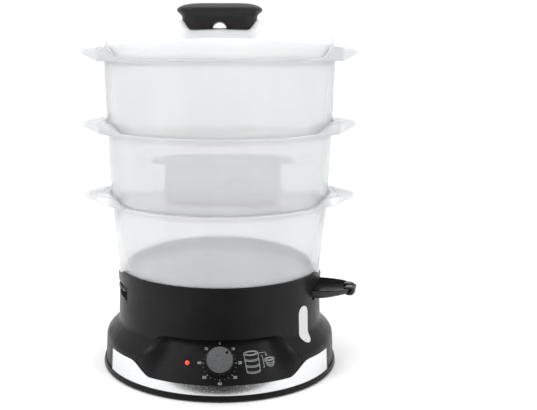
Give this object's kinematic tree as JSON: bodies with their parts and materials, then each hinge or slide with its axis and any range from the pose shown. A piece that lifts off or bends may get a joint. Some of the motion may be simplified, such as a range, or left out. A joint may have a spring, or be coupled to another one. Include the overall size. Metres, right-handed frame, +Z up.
{
  "type": "electric food steamer",
  "caption": "Stacked food steamer with clear bowls, a domed lid, and a base with a heated water tank, side fillers and a dial timer.",
  "frame": {"origin": "on the stack's axis, at the surface that the steamer stands on; the middle of the overall box lies within a few millimetres of it", "axes": "+Z up, -Y to the front, where the dial is, and +X to the side of the open filler"},
  "size_m": [0.3052, 0.2884, 0.405],
  "materials": {
    "housing_black": "satin",
    "panel_black": "fine grain",
    "band_metal": "polished",
    "rubber_black": "matte",
    "screw_steel": "zinc plated",
    "tank_grey": "satin",
    "filler_grey": "satin",
    "grip_black": "gloss",
    "tray_pale": "frosted",
    "window_clear": "clear",
    "bowl_clear": "clear",
    "lid_clear": "clear",
    "rice_clear": "clear",
    "handle_brown": "satin",
    "ring_white": "satin",
    "seal_red": "matte",
    "plate_steel": "brushed",
    "element_metal": "cast",
    "ceramic": "matte",
    "wire_sheath": "satin",
    "lens_red": "clear",
    "lamp_glass": "clear",
    "timer_plastic": "satin",
    "gear_brass": "machined",
    "knob_black": "satin",
    "knob_metal": "brushed"
  },
  "bodies": {
    "base": {"base_shell": "housing_black", "side_panel_left": "panel_black", "side_panel_right": "panel_black", "chrome_band": "band_metal", "bottom_cover": "housing_black", "rubber_feet": "rubber_black", "cover_screws": "screw_steel", "control_panel": "panel_black", "level_window": "window_clear", "level_duct": "window_clear", "water_tank": "tank_grey", "chute_left": "tank_grey", "chute_right": "tank_grey", "heater_seal": "seal_red", "heating_plate": "plate_steel", "heating_element": "element_metal", "heater_clamp": "plate_steel", "clamp_screws": "screw_steel", "thermostat": "ceramic", "thermal_fuse": "ceramic", "terminal_block": "ceramic", "wiring": "wire_sheath", "cord_gland": "rubber_black", "pilot_lens": "lens_red", "pilot_lamp": "lamp_glass", "timer_case": "timer_plastic", "timer_cover": "timer_plastic", "timer_nut": "screw_steel", "timer_bell": "screw_steel"},
    "timer_knob": {"timer_shaft": "screw_steel", "drive_wheel": "gear_brass", "knob_skirt": "knob_black", "knob_cap": "knob_metal", "knob_pointer": "knob_black", "knob_clip": "screw_steel"},
    "pinion": {"timer_pinion": "gear_brass"},
    "left_filler": {"filler_left": "filler_grey", "filler_grip_left": "grip_black"},
    "right_filler": {"filler_right": "filler_grey", "filler_grip_right": "grip_black"},
    "steam_ring": {"turbo_ring": "ring_white"},
    "drip_tray": {"juice_tray": "tray_pale", "juice_dish": "tray_pale", "steam_chimney": "tray_pale"},
    "first_bowl": {"lower_bowl": "bowl_clear"},
    "second_bowl": {"middle_bowl": "bowl_clear"},
    "rice_insert": {"rice_bowl": "rice_clear"},
    "third_bowl": {"upper_bowl": "bowl_clear"},
    "cover_lid": {"lid": "lid_clear", "lid_handle": "handle_brown", "handle_screws": "screw_steel"}
  },
  "joints": [
    {"name": "timer_turn", "type": "hinge", "parent": "base", "child": "timer_knob", "pos_m": [0, -0.12002, 0.0374], "axis": [0, 0.8469, -0.5318], "range_deg": [-45, 270]},
    {"name": "pinion_turn", "type": "hinge", "parent": "base", "child": "pinion", "pos_m": [-0.01036, -0.11113, 0.01959], "axis": [0, 0.8469, -0.5318], "range_deg": [-700, 130]},
    {"name": "right_filler_slide", "type": "slide", "parent": "base", "child": "right_filler", "axis": [0.9673, -0.2538, 0], "range_m": [-0.041, 0]},
    {"name": "left_filler_slide", "type": "slide", "parent": "base", "child": "left_filler", "axis": [-0.9673, -0.2538, 0], "range_m": [0, 0.041]},
    {"name": "steam_ring_lift", "type": "slide", "parent": "base", "child": "steam_ring", "axis": [0, 0, 1], "range_m": [0, 0.08]},
    {"name": "drip_tray_lift", "type": "slide", "parent": "steam_ring", "child": "drip_tray", "axis": [0, 0, 1], "range_m": [0, 0.04]},
    {"name": "first_bowl_lift", "type": "slide", "parent": "drip_tray", "child": "first_bowl", "axis": [0, 0, 1], "range_m": [0, 0.06]},
    {"name": "second_bowl_lift", "type": "slide", "parent": "first_bowl", "child": "second_bowl", "axis": [0, 0, 1], "range_m": [0, 0.06]},
    {"name": "rice_bowl_lift", "type": "slide", "parent": "second_bowl", "child": "rice_insert", "axis": [0, 0, 1], "range_m": [0, 0.09]},
    {"name": "third_bowl_lift", "type": "slide", "parent": "second_bowl", "child": "third_bowl", "axis": [0, 0, 1], "range_m": [0, 0.18]},
    {"name": "lid_lift", "type": "slide", "parent": "third_bowl", "child": "cover_lid", "axis": [0, 0, 1], "range_m": [0, 0.08]}
  ],
  "couplings": [
    {"joint": "pinion_turn", "follows": "timer_turn", "ratio": -2},
    {"joint": "rice_bowl_lift", "follows": "third_bowl_lift", "ratio": 0.5}
  ]
}
